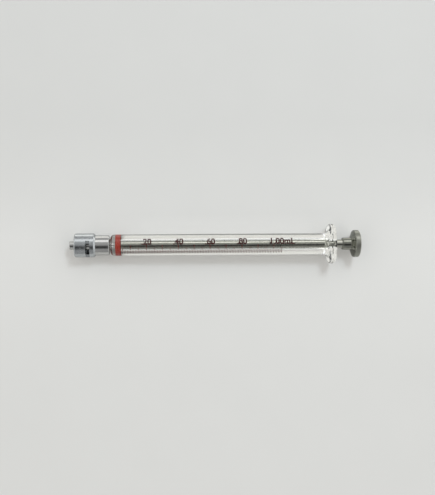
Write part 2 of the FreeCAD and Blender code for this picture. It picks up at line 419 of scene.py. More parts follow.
def turning_marks(tree, place, pitch):
    """Height of the fine rings that a lathe tool leaves round the axis, on walls and end faces alike."""
    radius, station = from_axis(tree, place)
    run = add_node(tree, "ShaderNodeMath", {0: station, 1: radius})
    return add_node(
        tree, "ShaderNodeTexNoise", {"W": run, "Scale": 1 / pitch, "Detail": 3.0}, noise_dimensions="1D")


def grain(tree, place, size, detail=2.0, stretch=(1.0, 1.0, 1.0)):
    """Irregular pattern of a real size, longer in the directions that are stretched."""
    mapped = add_node(tree, "ShaderNodeMapping", {"Vector": place, "Scale": [1 / part for part in stretch]})
    return add_node(tree, "ShaderNodeTexNoise", {"Vector": mapped, "Scale": 1 / size, "Detail": detail})


def between(base, darkest):
    """Stops of a colour ramp over a pattern's middle range, from a share of the base colour up to it."""
    dark = [channel * darkest for channel in base[:3]] + [1.0]
    return [(PATTERN_LOW, dark), (PATTERN_HIGH, list(base))]


def blown_borosilicate(finishes):
    """Blown and ground borosilicate: clear, with long faint draw lines that bend its highlights."""
    material, tree, place = new_finish("blown_borosilicate")
    draw_lines = grain(tree, place, 1.1 * MM, 1.0, (40.0, 1.0, 1.0))
    drawn = add_node(tree, "ShaderNodeBump", {"Height": draw_lines, "Distance": 0.002 * MM})
    glass = add_node(tree, "ShaderNodeBsdfPrincipled", {
        "Base Color": finishes.glass,
        "Roughness": 0.0,
        "IOR": 1.474,
        "Transmission Weight": 1.0,
        "Normal": drawn,
    })
    add_node(tree, "ShaderNodeOutputMaterial", {"Surface": glass})
    return material


def made_surface(name, base, darkest, pattern, roughness, marks, metallic=0.0, handled=(0.0, 1.0, 0.0)):
    """Finish whose tone and roughness follow a pattern, with the marks of its making in layers on top.

    The pattern is (size, detail). Each mark is (the pattern of its height, that pattern's sizes, its depth).
    Handling dulls it from one distance from the axis to another, by so much roughness.
    """
    material, tree, place = new_finish(name)
    clouds = grain(tree, place, *pattern)
    shade = add_node(tree, "ShaderNodeValToRGB", {"Fac": clouds}, stops=between(base, darkest))
    sheen = add_node(tree, "ShaderNodeMapRange", {
        "Value": clouds, "From Min": PATTERN_LOW, "From Max": PATTERN_HIGH,
        "To Min": roughness[0], "To Max": roughness[1],
    })
    wear = add_node(tree, "ShaderNodeMapRange", {
        "Value": from_axis(tree, place)[0], "From Min": handled[0], "From Max": handled[1],
        "To Max": handled[2],
    })
    dulled = add_node(tree, "ShaderNodeMath", {0: sheen, 1: wear})
    carved = {}
    for mark, sizes, depth in marks:
        height = mark(tree, place, *sizes)
        carved = {"Normal": add_node(tree, "ShaderNodeBump", {"Height": height, "Distance": depth, **carved})}
    shader = add_node(tree, "ShaderNodeBsdfPrincipled", {
        "Base Color": shade, "Metallic": metallic, "Roughness": dulled, **carved,
    })
    add_node(tree, "ShaderNodeOutputMaterial", {"Surface": shader})
    return material


def polished_nickel(finishes):
    """Nickel plate polished over turned brass: sharp long highlights broken by a few fine rings."""
    return made_surface(
        "polished_nickel_plate", finishes.polished, 0.9, (1.6 * MM, 4.0), (0.12, 0.18),
        [(turning_marks, (0.28 * MM,), 0.0035 * MM)], metallic=1.0)


def satin_nickel(finishes):
    """Bead-blasted satin plate: a fine grit that spreads its highlights, with softer rings below.

    The grit is drawn at 0.22 mm, coarser than the real one, so that it shows.
    """
    return made_surface(
        "satin_nickel_plate", finishes.satin, 0.84, (1.8 * MM, 3.0), (0.2, 0.28),
        [(turning_marks, (0.4 * MM,), 0.004 * MM), (grain, (0.22 * MM, 3.0), 0.0025 * MM)], metallic=1.0)


def lapped_steel(finishes):
    """Lapped stainless rod: an even grey sheen with hair-fine lines along the stroke.

    The lines are drawn 0.18 mm apart, coarser than real lapping marks, so that they show.
    """
    hair_lines = (grain, (0.18 * MM, 2.0, (60.0, 1.0, 1.0)), 0.0012 * MM)
    return made_surface(
        "lapped_stainless_steel", finishes.lapped, 0.88, (2.5 * MM, 3.0), (0.07, 0.12),
        [(turning_marks, (0.35 * MM,), 0.0016 * MM), hair_lines], metallic=1.0)


def turned_steel(finishes):
    """Turned stainless knob: tool rings and a slightly oily tone, and a rim that handling has dulled."""
    return made_surface(
        "turned_stainless_steel", finishes.turned, 0.8, (2.2 * MM, 4.0), (0.09, 0.15),
        [(turning_marks, (0.3 * MM,), 0.004 * MM)], metallic=1.0, handled=(4.0 * MM, 6.4 * MM, 0.2))


def sealing_cement(finishes):
    """Set sealing cement: pale, matt and slightly pitted."""
    pits = (0.15 * MM, 4.0)
    return made_surface(
        "sealing_cement", finishes.cement, 0.8, pits, (0.85, 0.85), [(grain, pits, 0.01 * MM)])


def fired_enamel(name, base):
    """Screen-printed enamel fired on glass: glossy on top, with the screen's uneven laydown."""
    laydown = (0.45 * MM, 4.0)
    return made_surface(name, base, 0.72, laydown, (0.22, 0.36), [(grain, laydown, 0.006 * MM)])


# Painted light that the pale board glows with, for what the camera sees, what the metal mirrors and what
# shows through the glass. Each layer is its brightness by the millimetres across the syringe, and its share
# along it.
SOFT_END = 12 * MM
TUBE_END = barrel_rear - 4.5 * MM
FLANGE_START = barrel_rear - 3 * MM
LEVEL = ((-1.0, 1.0), (1.0, 1.0))
# Painted light on the board beside the glass tube, where the syringe's own shade falls.
PAINTED_LIGHT_BESIDE_BARREL = (
    (band_rear - SOFT_END, 0.0), (band_rear + SOFT_END, 1.0), (barrel_rear - SOFT_END, 1.0),
    (barrel_rear + SOFT_END, 0.0))
# Painted caustic: light that the glass tube would gather on the board under itself, shown only through the
# glass.
PAINTED_CAUSTIC_UNDER_BARREL = ((band_rear, 0.3), (band_rear + 2 * MM, 1.0), (TUBE_END, 1.0), (FLANGE_START, 0.0))
# Painted light on the board under the flange, shown only through the glass.
PAINTED_LIGHT_UNDER_FLANGE = ((TUBE_END, 0.0), (FLANGE_START, 0.62))
PAINTED_BOARD_LIGHT = {
    # Painted fill light that lightens the syringe's shadow and evens the board, and painted light beside the
    # tube.
    "Is Camera Ray": (
        (((-60.0, 0.155), (-20.0, 0.175), (4.0, 0.18), (25.0, 0.143), (60.0, 0.11)), LEVEL),
        (((-1.0, 0.0), (6.0, 0.06), (15.0, 0.0)), PAINTED_LIGHT_BESIDE_BARREL)),
    # Painted reflection: a bright sheen strip on the board's far side that only the metal mirrors.
    "Is Glossy Ray": (
        (((-40.0, 0.15), (-10.0, 0.12), (-6.0, 0.0), (14.0, 0.0), (22.0, 1.3), (34.0, 1.3), (40.0, 0.15)),
         LEVEL),),
    # Painted light seen only through the glass.
    "Is Transmission Ray": (
        (((-14.0, 0.0), (-9.0, 0.46), (-3.2, 0.46), (-2.4, 0.0), (-0.7, 0.0), (-0.25, 0.48), (0.1, 0.56),
          (2.2, 0.56), (3.2, 0.46), (9.0, 0.46), (13.0, 0.0)), PAINTED_CAUSTIC_UNDER_BARREL),
        (LEVEL, PAINTED_LIGHT_UNDER_FLANGE)),
}


def profile(tree, place, stops, unit=1.0):
    """Brightness by the place in one direction, between stops that give both."""
    start, end = stops[0][0], stops[-1][0]
    share = add_node(
        tree, "ShaderNodeMapRange", {"Value": place, "From Min": start * unit, "From Max": end * unit})
    shades = [((at - start) / (end - start), (shade, shade, shade, 1.0)) for at, shade in stops]
    return add_node(tree, "ShaderNodeValToRGB", {"Fac": share}, stops=shades)


def board_with_painted_glow(stage):
    """Pale matt board: near white with a faint mottle, and a glow of painted light: fill in its shadows, a
    sheen strip for the metal and a caustic under the glass.
    """
    mottle = 25 * MM
    material, tree, place = new_finish("board_with_painted_glow")
    fibres = grain(tree, place, mottle, 3.0)
    apart = add_node(tree, "ShaderNodeSeparateXYZ", {"Vector": place}).outputs
    ray = add_node(tree, "ShaderNodeLightPath").outputs
    glow = 0.0
    # Each kind of ray sees its own painted light on the board.
    for kind, layers in PAINTED_BOARD_LIGHT.items():
        light = 0.0
        for across, along in layers:
            brightness = profile(tree, apart["Y"], across, MM)
            share = profile(tree, apart["X"], along)
            light = add_node(
                tree, "ShaderNodeMath", {0: brightness, 1: share, 2: light}, operation="MULTIPLY_ADD")
        glow = add_node(tree, "ShaderNodeMapRange", {"Value": ray[kind], "To Min": glow, "To Max": light})
    shade = add_node(tree, "ShaderNodeValToRGB", {"Fac": fibres}, stops=between(stage.floor, 0.985))
    board = add_node(tree, "ShaderNodeBsdfPrincipled", {
        "Base Color": shade,
        "Roughness": 0.9,
        "Specular IOR Level": 0.2,
        "Emission Color": stage.glow_colour,
        "Emission Strength": glow,
    })
    add_node(tree, "ShaderNodeOutputMaterial", {"Surface": board})
    return material


def flange_reach(sizes, turn):
    """Distance from the axis to the flange's outline: a disc with two flats and rounded corners."""
    upward = abs(math.cos(turn))
    sideways = abs(math.sin(turn))
    disc = sizes.flange / 2
    corner_height = sizes.flats / 2 - sizes.corner
    corner_side = math.sqrt((disc - sizes.corner) ** 2 - corner_height ** 2)
    if sideways * sizes.flats / 2 <= corner_side * upward:
        return sizes.flats / 2 / upward
    if sideways * corner_height >= corner_side * upward:
        return disc
    toward_corner = corner_side * sideways + corner_height * upward
    inside = toward_corner ** 2 - (disc - sizes.corner) ** 2 + sizes.corner ** 2
    return toward_corner + math.sqrt(inside)


def evenly(points, steps):
    """Points at equal distances along a line of points."""
    lengths = [(after - before).length for before, after in zip(points, points[1:])]
    whole = sum(lengths)
    spaced = [points[0]]
    index = 0
    passed = 0.0
    for step in range(1, steps):
        wanted = whole * step / steps
        while passed + lengths[index] < wanted:
            passed += lengths[index]
            index += 1
        share = (wanted - passed) / lengths[index]
        spaced.append(points[index].lerp(points[index + 1], share))
    return spaced + [points[-1]]


def flange_front(sizes, reach):
    """Front of the flange in one half plane: the fillet from the tube, then the face's slight cone."""
    steps = 48
    tube = sizes.tube / 2
    slope = math.atan2((sizes.root_thickness - sizes.rim_thickness) / 2, (sizes.flange - sizes.tube) / 2)
    face = barrel_rear - sizes.root_thickness
    centre = face - sizes.fillet * (1 - math.sin(slope)) / math.cos(slope)
    points = []
    for step in range(steps + 1):
        bend = (math.pi / 2 - slope) * step / steps
        rise = sizes.fillet * (1 - math.cos(bend))
        if tube + rise >= reach:
            break
        points.append(Vector((centre + sizes.fillet * math.sin(bend), tube + rise)))
    if len(points) > steps:
        points.append(Vector((face + math.tan(slope) * (reach - tube), reach)))
    else:
        bend = math.acos(1 - (reach - tube) / sizes.fillet)
        points.append(Vector((centre + sizes.fillet * math.sin(bend), reach)))
    return points


def barrel_outline(sizes, turn):
    """Outline of the glass at one turn: neck, shoulder, tube, flange, mouth and bore."""
    front_steps = 26
    tube_steps = 24
    rear_steps = 6
    neck_edge = 0.3 * MM
    least_front = 0.05 * MM
    mouth_edge = 0.12 * MM
    bore_end_rounding = 0.4 * MM
    neck, tube, bore, passage = (size / 2 for size in (sizes.neck, sizes.tube, sizes.bore, sizes.passage))
    shoulder = hub_rear + sizes.shoulder_gap
    shoulder_rounding = min(sizes.shoulder_rounding, tube - neck - sizes.neck_rounding - least_front)
    bore_end = shoulder + sizes.end_wall
    reach = flange_reach(sizes, turn)
    rounding = min(sizes.rim_rounding, sizes.rim_share * (reach - tube))
    front = flange_front(sizes, reach)
    slope = (sizes.root_thickness - sizes.rim_thickness) / (sizes.flange - sizes.tube)
    rear_rim = barrel_rear - slope * (reach - tube)
    near_rim = front[-1] + (front[-2] - front[-1]).normalized() * rounding * 2
    rim = rounded([
        (near_rim.x, near_rim.y, 0.0),
        (front[-1].x, reach, rounding),
        (rear_rim, reach, rounding),
        (barrel_rear, tube, 0.0),
    ])
    climb = [point for point in front if point.y < rim[1].y - EDGE_STRIP] + [rim[1]]
    head = rounded([
        (socket_bottom, passage, 0.0),
        (socket_bottom, neck, neck_edge),
        (shoulder, neck, sizes.neck_rounding),
        (shoulder, tube, shoulder_rounding),
        (front[0].x, tube, 0.0),
    ])
    tube_line = [head[-2].lerp(head[-1], step / tube_steps) for step in range(1, tube_steps)]
    mouth = rounded([
        (barrel_rear, tube, 0.0),
        (barrel_rear, bore + sizes.mouth_flare, mouth_edge),
        (barrel_rear - sizes.mouth_flare, bore, mouth_edge),
        (bore_end, bore, bore_end_rounding),
        (bore_end, passage, 0.0),
    ])
    back = [rim[-2].lerp(rim[-1], step / rear_steps) for step in range(1, rear_steps)]
    return head[:-1] + tube_line + evenly(climb, front_steps) + rim[2:-1] + back + mouth


class SYRINGE_OT_glass_barrel(bpy.types.Operator):
    """Blown glass barrel with its neck, shoulder and finger flange."""

    bl_idname = "syringe.glass_barrel"
    bl_label = "Glass barrel"

    def execute(self, context):
        sizes = context.scene.syringe_barrel
        turns = [2 * math.pi * step / TURNS for step in range(TURNS)]
        mesh = skin("glass_barrel", [barrel_outline(sizes, turn) for turn in turns])
        barrel = new_piece("blown_barrel", mesh, blown_borosilicate(context.scene.syringe_finishes))
        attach(barrel, "barrel")
        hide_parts("glass_barrel")
        return {"FINISHED"}


class SYRINGE_OT_tip_hub(bpy.types.Operator):
    """Turned hub with the tip cone, the collar's seat and the sleeve."""

    bl_idname = "syringe.tip_hub"
    bl_label = "Tip hub"

    def execute(self, context):
        sizes = context.scene.syringe_hub
        passage = sizes.passage / 2
        seat_front = collar_rear - sizes.seat_length
        cone_root = (sizes.cone_end + sizes.cone_taper * (seat_front - hub_front)) / 2
        outline = rounded([
            (hub_front, passage, sizes.edge),
            (hub_front, sizes.cone_end / 2, sizes.cone_rounding),
            (seat_front, cone_root, sizes.edge),
            (seat_front, sizes.seat / 2, 0.0),
            (collar_rear, sizes.seat / 2, 0.0),
            (collar_rear, sizes.sleeve / 2, 0.0),
            (hub_rear, sizes.sleeve / 2, sizes.sleeve_rounding),
            (hub_rear, sizes.socket / 2, sizes.edge),
            (socket_bottom, sizes.socket / 2, 0.0),
            (socket_bottom, passage, 0.0),
        ])
        finish = polished_nickel(context.scene.syringe_finishes)
        hub = new_piece("turned_hub", lathe("tip_hub", outline), finish)
        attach(hub, "barrel")
        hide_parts("tip_hub")
        return {"FINISHED"}


def thread_ridges(tree, given):
    """Ridges of a lock thread: a helix for each start, swept with a trapezoid that runs out at its ends."""
    steps_for_each_turn = 96
    share_at_ends = 0.2
    turns = add_node(tree, "ShaderNodeMath", {0: given["Length"], 1: given["Lead"]}, operation="DIVIDE")
    helix = add_node(tree, "GeometryNodeCurveSpiral", {
        "Resolution": steps_for_each_turn, "Rotations": turns, "Start Radius": given["Path radius"],
        "End Radius": given["Path radius"], "Height": given["Length"],
    })
    upright = add_node(tree, "GeometryNodeSetCurveNormal", {"Curve": helix}, mode="Z_UP")
    section = add_node(tree, "GeometryNodeCurvePrimitiveQuadrilateral", {
        "Height": given["Ridge height"], "Bottom Width": given["Root width"],
        "Top Width": given["Crest width"], "Offset": 0.0,
    }, mode="TRAPEZOID")
    half_height = add_node(tree, "ShaderNodeMath", {0: given["Ridge height"], 1: 0.5}, operation="MULTIPLY")
    lift = add_node(tree, "ShaderNodeCombineXYZ", {"Y": half_height})
    lifted = add_node(tree, "GeometryNodeTransform", {"Geometry": section, "Translation": lift})
    place = add_node(tree, "GeometryNodeSplineParameter")
    other_end = add_node(tree, "ShaderNodeMath", {0: 1.0, 1: place}, operation="SUBTRACT")
    nearer = add_node(tree, "ShaderNodeMath", {0: place, 1: other_end}, operation="MINIMUM")
    swell = add_node(tree, "ShaderNodeMapRange", {
        "Value": nearer, "From Max": given["Run out"], "To Min": share_at_ends,
    })
    ridge = add_node(tree, "GeometryNodeCurveToMesh", {
        "Curve": upright, "Profile Curve": lifted, "Scale": swell, "Fill Caps": True,
    })
    starts = add_node(tree, "GeometryNodeMeshLine", {"Count": given["Starts"], "Offset": (0.0, 0.0, 0.0)})
    number = add_node(tree, "GeometryNodeInputIndex")
    apart = add_node(tree, "ShaderNodeMath", {0: 2 * math.pi, 1: given["Starts"]}, operation="DIVIDE")
    turn = add_node(tree, "ShaderNodeMath", {0: number, 1: apart}, operation="MULTIPLY")
    spin = add_node(tree, "ShaderNodeCombineXYZ", {"Z": turn})
    copies = add_node(
        tree, "GeometryNodeInstanceOnPoints", {"Points": starts, "Instance": ridge, "Rotation": spin})
    return add_node(tree, "GeometryNodeTransform", {
        "Geometry": copies, "Translation": given["Front"], "Rotation": (0.0, math.pi / 2, 0.0),
    })


def window_cutter(sizes):
    """Block that stands where the milling cutter passed through the collar."""
    station = collar_front + sizes.window_setback
    floor = sizes.outside / 2 - sizes.window_depth
    reach = sizes.outside
    shape = bmesh.new()
    bmesh.ops.create_cube(shape, size=1.0)
    bmesh.ops.scale(shape, verts=shape.verts, vec=(sizes.window_width, 2 * reach, reach))
    bmesh.ops.translate(shape, verts=shape.verts, vec=(0.0, 0.0, floor + reach / 2))
    bmesh.ops.rotate(shape, verts=shape.verts, matrix=Matrix.Rotation(sizes.window_turn, 3, "X"))
    bmesh.ops.translate(shape, verts=shape.verts, vec=(station, 0.0, axis_height))
    return made_mesh("window_cutter", shape)


def merged(mesh, other, operation):
    """Mesh of one closed form joined with another, or cut by it."""
    holder = placed(mesh.name, mesh)
    tool = placed(other.name, other)
    step = holder.modifiers.new(operation, "BOOLEAN")
    step.operation = operation
    step.object = tool
    step.solver = "EXACT"
    result = evaluated_mesh(holder)
    bpy.data.objects.remove(tool)
    return result


class SYRINGE_OT_lock_collar(bpy.types.Operator):
    """Lock collar with its two-start thread and its milled window."""

    bl_idname = "syringe.lock_collar"
    bl_label = "Lock collar"

    def execute(self, context):
        sizes = context.scene.syringe_collar
        finish = satin_nickel(context.scene.syringe_finishes)
        outer = sizes.outside / 2
        thread = sizes.thread_major / 2
        relief = sizes.relief / 2
        thread_end = collar_front + sizes.thread_length
        body = lathe("lock_collar", rounded([
            (collar_front, thread + sizes.mouth, sizes.edge),
            (collar_front, outer - sizes.front_chamfer, sizes.edge),
            (collar_front + sizes.front_chamfer, outer, sizes.edge),
            (collar_rear - sizes.rear_chamfer, outer, sizes.edge),
            (collar_rear, outer - sizes.rear_chamfer, sizes.edge),
            (collar_rear, relief, 0.0),
            (thread_end, relief, 0.0),
            (thread_end, thread, sizes.edge),
            (collar_front + sizes.mouth, thread, sizes.edge),
        ], steps=4))
        path = thread + sizes.thread_bury
        start = collar_front + sizes.thread_margin
        ridges = grown_mesh("lock_thread", {
            "Starts": sizes.thread_starts,
            "Lead": sizes.thread_lead,
            "Length": sizes.thread_length - 2 * sizes.thread_margin,
            "Path radius": path,
            "Ridge height": path - sizes.thread_minor / 2,
            "Root width": sizes.thread_root,
            "Crest width": sizes.thread_crest,
            "Run out": sizes.thread_run_out,
            "Front": (start, 0.0, axis_height),
        }, finish, thread_ridges)
        threaded = merged(body, ridges, "UNION")
        milled = merged(threaded, window_cutter(sizes), "DIFFERENCE")
        collar = new_piece("milled_lock_collar", milled, finish)
        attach(collar, "barrel")
        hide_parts("lock_collar")
        return {"FINISHED"}


class SYRINGE_OT_socket_cement(bpy.types.Operator):
    """Sealing cement between the glass neck and the hub, with a hollow meniscus at its open end."""

    bl_idname = "syringe.socket_cement"
    bl_label = "Socket cement"

    def execute(self, context):
        neck = context.scene.syringe_barrel.neck / 2
        socket = context.scene.syringe_hub.socket / 2
        clearance = 0.005 * MM
        meniscus = 0.06 * MM
        middle = (neck + socket) / 2
        outline = [
            Vector((cement_front + clearance, neck + clearance)),
            Vector((cement_front + clearance, socket - clearance)),
            Vector((cement_rear, socket - clearance)),
            Vector((cement_rear - meniscus, middle + meniscus / 2)),
            Vector((cement_rear - meniscus, middle - meniscus / 2)),
            Vector((cement_rear, neck + clearance)),
        ]
        finish = sealing_cement(context.scene.syringe_finishes)
        cement = new_piece("cement_ring", lathe("socket_cement", outline), finish)
        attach(cement, "barrel")
        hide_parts("socket_cement")
        return {"FINISHED"}


class SYRINGE_OT_piston_rod(bpy.types.Operator):
    """Solid lapped rod that is both the piston and its bare stem."""

    bl_idname = "syringe.piston_rod"
    bl_label = "Piston rod"

    def execute(self, context):
        sizes = context.scene.syringe_piston
        radius = sizes.rod / 2
        outline = rounded([
            (rod_front, 0.0, 0.0),
            (rod_front, radius, sizes.rod_edge),
            (rod_rear, radius, sizes.edge),
            (rod_rear, 0.0, 0.0),
        ])
        finish = lapped_steel(context.scene.syringe_finishes)
        rod = new_piece("lapped_rod", lathe("piston_rod", outline), finish)
        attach(rod, "piston")
        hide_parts("piston_rod")
        return {"FINISHED"}


class SYRINGE_OT_thumb_knob(bpy.types.Operator):
    """Turned thumb knob: a stepped stem, a cone and a thick rim."""

    bl_idname = "syringe.thumb_knob"
    bl_label = "Thumb knob"

    def execute(self, context):
        sizes = context.scene.syringe_piston
        rim = sizes.knob / 2
        cone_front = stem_front + sizes.stem_length
        rim_front = cone_front + sizes.cone_length
        outline = rounded([
            (rod_rear, 0.0, 0.0),
            (rod_rear, sizes.socket / 2, 0.0),
            (stem_front, sizes.socket / 2, sizes.edge),
            (stem_front, sizes.stem / 2, sizes.stem_rounding),
            (cone_front, sizes.stem / 2, sizes.edge),
            (rim_front, rim - sizes.rim_step, 0.0),
            (rim_front, rim, sizes.rim_rounding),
            (knob_rear, rim, sizes.rim_rounding),
            (knob_rear, 0.0, 0.0),
        ])
        finish = turned_steel(context.scene.syringe_finishes)
        knob = new_piece("turned_knob", lathe("thumb_knob", outline), finish)
        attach(knob, "piston")
        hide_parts("thumb_knob")
        return {"FINISHED"}


class SYRINGE_OT_zero_band(bpy.types.Operator):
    """Red band fired on the glass at the zero end of the scale."""

    bl_idname = "syringe.zero_band"
    bl_label = "Zero band"

    def execute(self, context):
        scale = context.scene.syringe_scale
        glass = context.scene.syringe_barrel.tube / 2
        outline = rounded([
            (band_front, glass - scale.sink, 0.0),
            (band_front, glass + scale.height, scale.height / 2),
            (band_rear, glass + scale.height, scale.height / 2),
            (band_rear, glass - scale.sink, 0.0),
        ], steps=3)
        finish = fired_enamel("red_fired_enamel", context.scene.syringe_finishes.red)
        band = new_piece("red_zero_band", lathe("zero_band", outline), finish)
        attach(band, "barrel")
        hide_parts("zero_band")
        return {"FINISHED"}


def bent_lines(tree, given):
    """Graduation lines: a row of small blocks, each bent round the barrel from the foot to its head."""
    along_the_arc = 12
    half_block = 0.5
    row = add_node(tree, "GeometryNodeMeshLine", {
        "Count": given["Lines"], "Start Location": given["First place"], "Offset": given["Step"],
    })
    number = add_node(tree, "GeometryNodeInputIndex")
    counted = add_node(tree, "ShaderNodeMath", {0: number, 1: given["First count"]})
    head = given["Short head"]
    for kind in ("Middle", "Long"):
        left_over = add_node(
            tree, "ShaderNodeMath", {0: counted, 1: given[kind + " every"]}, operation="MODULO")
        hit = add_node(tree, "ShaderNodeMath", {0: left_over, 1: 0.5}, operation="LESS_THAN")
        head = add_node(
            tree, "GeometryNodeSwitch", {"Switch": hit, "False": head, "True": given[kind + " head"]},
            input_type="FLOAT")
    kept = add_node(tree, "GeometryNodeCaptureAttribute", {"Geometry": row})
    kept.capture_items.new("FLOAT", "Head")
    tree.links.new(head.outputs["Output"], kept.inputs["Head"])
    block = add_node(tree, "GeometryNodeMeshCube", {
        "Size": given["Line block"], "Vertices X": 2, "Vertices Y": along_the_arc, "Vertices Z": 2,
    })
    blocks = add_node(tree, "GeometryNodeInstanceOnPoints", {"Points": kept, "Instance": block})
    real = add_node(tree, "GeometryNodeRealizeInstances", {"Geometry": blocks})
    place = add_node(tree, "GeometryNodeInputPosition")
    apart = add_node(tree, "ShaderNodeSeparateXYZ", {"Vector": place}).outputs
    turn = add_node(tree, "ShaderNodeMapRange", {
        "Value": apart["Y"], "From Min": -half_block, "From Max": half_block,
        "To Min": given["Foot"], "To Max": kept.outputs["Head"],
    })
    radius = add_node(tree, "ShaderNodeMapRange", {
        "Value": apart["Z"], "From Min": -half_block, "From Max": half_block,
        "To Min": given["Inner radius"], "To Max": given["Outer radius"],
    })
    upright = add_node(tree, "ShaderNodeCombineXYZ", {"X": apart["X"], "Z": radius})
    bent = add_node(
        tree, "ShaderNodeVectorRotate", {"Vector": upright, "Angle": turn}, rotation_type="X_AXIS")
    return add_node(
        tree, "GeometryNodeSetPosition", {"Geometry": real, "Position": bent, "Offset": given["Axis"]})


class SYRINGE_OT_scale_lines(bpy.types.Operator):
    """Graduation lines fired on the glass."""

    bl_idname = "syringe.scale_lines"
    bl_label = "Scale lines"

    def execute(self, context):
        scale = context.scene.syringe_scale
        glass = context.scene.syringe_barrel.tube / 2
        finish = fired_enamel("thin_brown_enamel", context.scene.syringe_finishes.thin_brown)
        lines = scale.last_count - scale.first_count + 1
        first = first_line_front + scale.line_width / 2
        last = last_line_rear - scale.line_width / 2
        mesh = grown_mesh("graduation_lines", {
            "Lines": lines,
            "First count": scale.first_count,
            "Middle every": scale.middle_every,
            "Long every": scale.long_every,
            "First place": (first, 0.0, 0.0),
            "Step": ((last - first) / (lines - 1), 0.0, 0.0),
            "Line block": (scale.line_width, 1.0, 1.0),
            "Inner radius": glass - scale.sink,
            "Outer radius": glass + scale.height,
            "Foot": scale.foot,
            "Short head": scale.short,
            "Middle head": scale.middle,
            "Long head": scale.long,
            "Axis": (0.0, 0.0, axis_height),
        }, finish, bent_lines)
        shape = bmesh.new()
        shape.from_mesh(mesh)
        bmesh.ops.recalc_face_normals(shape, faces=shape.faces)
        shape.to_mesh(mesh)
        shape.free()
        marks = new_piece("graduation_lines", mesh, finish)
        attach(marks, "barrel")
        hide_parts("scale_lines")
        return {"FINISHED"}


def flat_number(words, scale):
    """Flat plate of one number, centred along the barrel, with its foot line at zero."""
    fineness = 4
    half_plate = 0.5
    same_place = 1e-5
    text = bpy.data.curves.new("number", "FONT")
    text.body = words
    text.resolution_u = fineness
    text.offset = scale.digit_weight
    text.extrude = half_plate
    mesh = evaluated_mesh(placed("number", text))
    shape = bmesh.new()
    shape.from_mesh(mesh)
    bmesh.ops.remove_doubles(shape, verts=shape.verts, dist=same_place)
    tallest = max(vertex.co.y for vertex in shape.verts)
    left = min(vertex.co.x for vertex in shape.verts)
    right = max(vertex.co.x for vertex in shape.verts)
    size = scale.digit_height / tallest
    thickness = scale.height + scale.sink
    for vertex in shape.verts:
        vertex.co.x = (vertex.co.x - (left + right) / 2) * size * scale.digit_narrowing
        vertex.co.y *= size
        vertex.co.z = (vertex.co.z + half_plate) * thickness - scale.sink
    return shape


def wrap_number(shape, station, glass, scale):
    """Bend a flat plate round the barrel at a station, after cutting it into narrow strips."""
    strip = 0.22 * MM
    for step in range(1, math.ceil(scale.digit_height / strip)):
        bmesh.ops.bisect_plane(
            shape, geom=shape.verts[:] + shape.edges[:] + shape.faces[:],
            plane_co=(0.0, step * strip, 0.0), plane_no=(0.0, 1.0, 0.0))
    for vertex in shape.verts:
        turn = scale.baseline - vertex.co.y / glass
        vertex.co = on_turn(station + vertex.co.x, glass + vertex.co.z, turn)
    bmesh.ops.recalc_face_normals(shape, faces=shape.faces)


class SYRINGE_OT_scale_numbers(bpy.types.Operator):
    """Plain numbers beside the scale, fired on the glass."""

    bl_idname = "syringe.scale_numbers"
    bl_label = "Scale numbers"

    def execute(self, context):
        scale = context.scene.syringe_scale
        glass = context.scene.syringe_barrel.tube / 2
        zero = first_line_front + scale.line_width / 2 - scale.first_count * scale.millilitre / 100
        numbers = {
            ".20": (0.2, 0.0), ".40": (0.4, 0.0), ".60": (0.6, 0.0), ".80": (0.8, 0.0),
            "1.00mL": (1.0, scale.last_number_lead),
        }
        whole = bmesh.new()
        for words, (volume, lead) in numbers.items():
            shape = flat_number(words, scale)
            wrap_number(shape, zero + volume * scale.millilitre + lead, glass, scale)
            part = made_mesh("part", shape)
            whole.from_mesh(part)
            bpy.data.meshes.remove(part)
        finish = fired_enamel("brown_fired_enamel", context.scene.syringe_finishes.brown)
        figures = new_piece("scale_numbers", made_mesh("scale_numbers", whole), finish)
        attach(figures, "barrel")
        return {"FINISHED"}


# Light of the room by its angle from straight overhead, in degrees, from the scale's side (negative)
# to the other side, with its brightness. The dip beside the middle is what stands over the syringe.
ROOM_LIGHT = (
    (-180.0, 0.38), (-95.0, 0.38), (-60.0, 0.4), (-48.0, 0.42), (-40.0, 0.26), (-33.0, 0.06), (-12.0, 0.06),
    (-6.0, 0.25), (0.0, 0.36), (10.0, 0.5), (25.0, 0.52), (38.0, 0.65), (43.0, 2.2), (58.0, 2.2),
    (63.0, 0.65), (75.0, 0.52), (95.0, 0.5), (180.0, 0.5),
)

# How far a ray leans along the syringe where the room's light changes, from 0 upright to 1 level. A
# minus is towards the tip.
FROM_TIP_SIDE, TO_KNOB_SIDE = -0.12, 0.05
FROM_OVERHEAD, TO_ENDS = 0.32, 0.5


